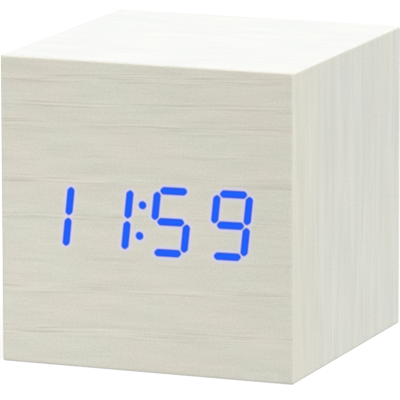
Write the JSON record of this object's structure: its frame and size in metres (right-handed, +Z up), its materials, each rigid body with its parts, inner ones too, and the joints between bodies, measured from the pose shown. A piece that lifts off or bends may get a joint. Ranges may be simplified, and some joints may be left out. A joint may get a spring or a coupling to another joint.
{
  "type": "desk clock",
  "caption": "Cube desk clock of film-faced board with a blue seven-segment time behind its front film and keys, speaker and battery door at the rear.",
  "frame": {"origin": "middle of the base, on the surface that the clock stands on", "axes": "+Z up, -Y towards the reader of the time, +X to that reader's right"},
  "size_m": [0.06, 0.06, 0.06],
  "materials": {
    "film": "matt wood-grain film",
    "filmed_board": "fibreboard under matt wood-grain film",
    "lit_film": "film lit from behind",
    "white_block": "moulded white",
    "milky_bar": "milky",
    "board_green": "solder mask",
    "chip_black": "moulded, fine matt",
    "led_body": "clear resin on white",
    "black_cover": "fine spark texture",
    "black_key": "satin",
    "screw_steel": "zinc plated",
    "socket_steel": "folded, nickel plated",
    "contact_steel": "nickel plated spring strip",
    "speaker_steel": "pressed",
    "cone_film": "thin formed film",
    "magnet_can": "plated can",
    "crystal_can": "drawn can",
    "capacitor_sleeve": "sleeved can",
    "red_wire": "soft",
    "black_wire": "soft",
    "ribbon_grey": "flat ribbon",
    "cell_can": "plain sleeved can",
    "glue_block": "raw fibreboard"
  },
  "bodies": {
    "case": {"front_film": "film", "lit_segments": "lit_film", "front_board": "glue_block", "top_board": "filmed_board", "bottom_board": "filmed_board", "left_board": "filmed_board", "right_board": "filmed_board", "screw_blocks": "glue_block", "segment_block": "white_block", "segment_diffusers": "milky_bar", "segment_leds": "led_body", "display_board": "board_green", "display_screws": "screw_steel", "driver_chip": "chip_black", "display_header": "white_block", "ribbon_cable": "ribbon_grey", "main_header": "white_block", "main_board": "board_green", "board_screws": "screw_steel", "clock_chip": "chip_black", "voice_chip": "chip_black", "clock_crystal": "crystal_can", "buffer_capacitor": "capacitor_sleeve", "tact_switches": "chip_black", "switch_body": "socket_steel", "usb_shell": "socket_steel", "usb_tongue": "chip_black", "speaker_frame": "speaker_steel", "speaker_cone": "cone_film", "speaker_magnet": "magnet_can", "speaker_leads": "red_wire", "battery_lead_red": "red_wire", "battery_lead_black": "black_wire", "battery_1": "cell_can", "battery_2": "cell_can", "battery_3": "cell_can", "battery_contacts": "contact_steel", "rear_cover": "black_cover", "cover_screws": "screw_steel"},
    "set_button": {"set_key": "black_key", "set_plunger": "chip_black"},
    "up_button": {"up_key": "black_key", "up_plunger": "chip_black"},
    "down_button": {"down_key": "black_key", "down_plunger": "chip_black"},
    "talk_button": {"talk_key": "black_key", "talk_plunger": "chip_black"},
    "alarm_switch": {"switch_knob": "black_key"},
    "door": {"battery_door": "black_cover"}
  },
  "joints": [
    {"name": "set_press", "type": "slide", "parent": "case", "child": "set_button", "axis": [0, -1, 0], "range_m": [0, 0.0005], "stiffness_N_per_m": 800, "springref_m": -0.0002},
    {"name": "up_press", "type": "slide", "parent": "case", "child": "up_button", "axis": [0, -1, 0], "range_m": [0, 0.0005], "stiffness_N_per_m": 800, "springref_m": -0.0002},
    {"name": "down_press", "type": "slide", "parent": "case", "child": "down_button", "axis": [0, -1, 0], "range_m": [0, 0.0005], "stiffness_N_per_m": 800, "springref_m": -0.0002},
    {"name": "talk_press", "type": "slide", "parent": "case", "child": "talk_button", "axis": [0, -1, 0], "range_m": [0, 0.0005], "stiffness_N_per_m": 800, "springref_m": -0.0002},
    {"name": "alarm_slide", "type": "slide", "parent": "case", "child": "alarm_switch", "axis": [1, 0, 0], "range_m": [0, 0.002]},
    {"name": "door_hinge", "type": "hinge", "parent": "case", "child": "door", "pos_m": [0, 0.02765, 0.00725], "axis": [-1, 0, 0], "range_deg": [0, 90]}
  ]
}
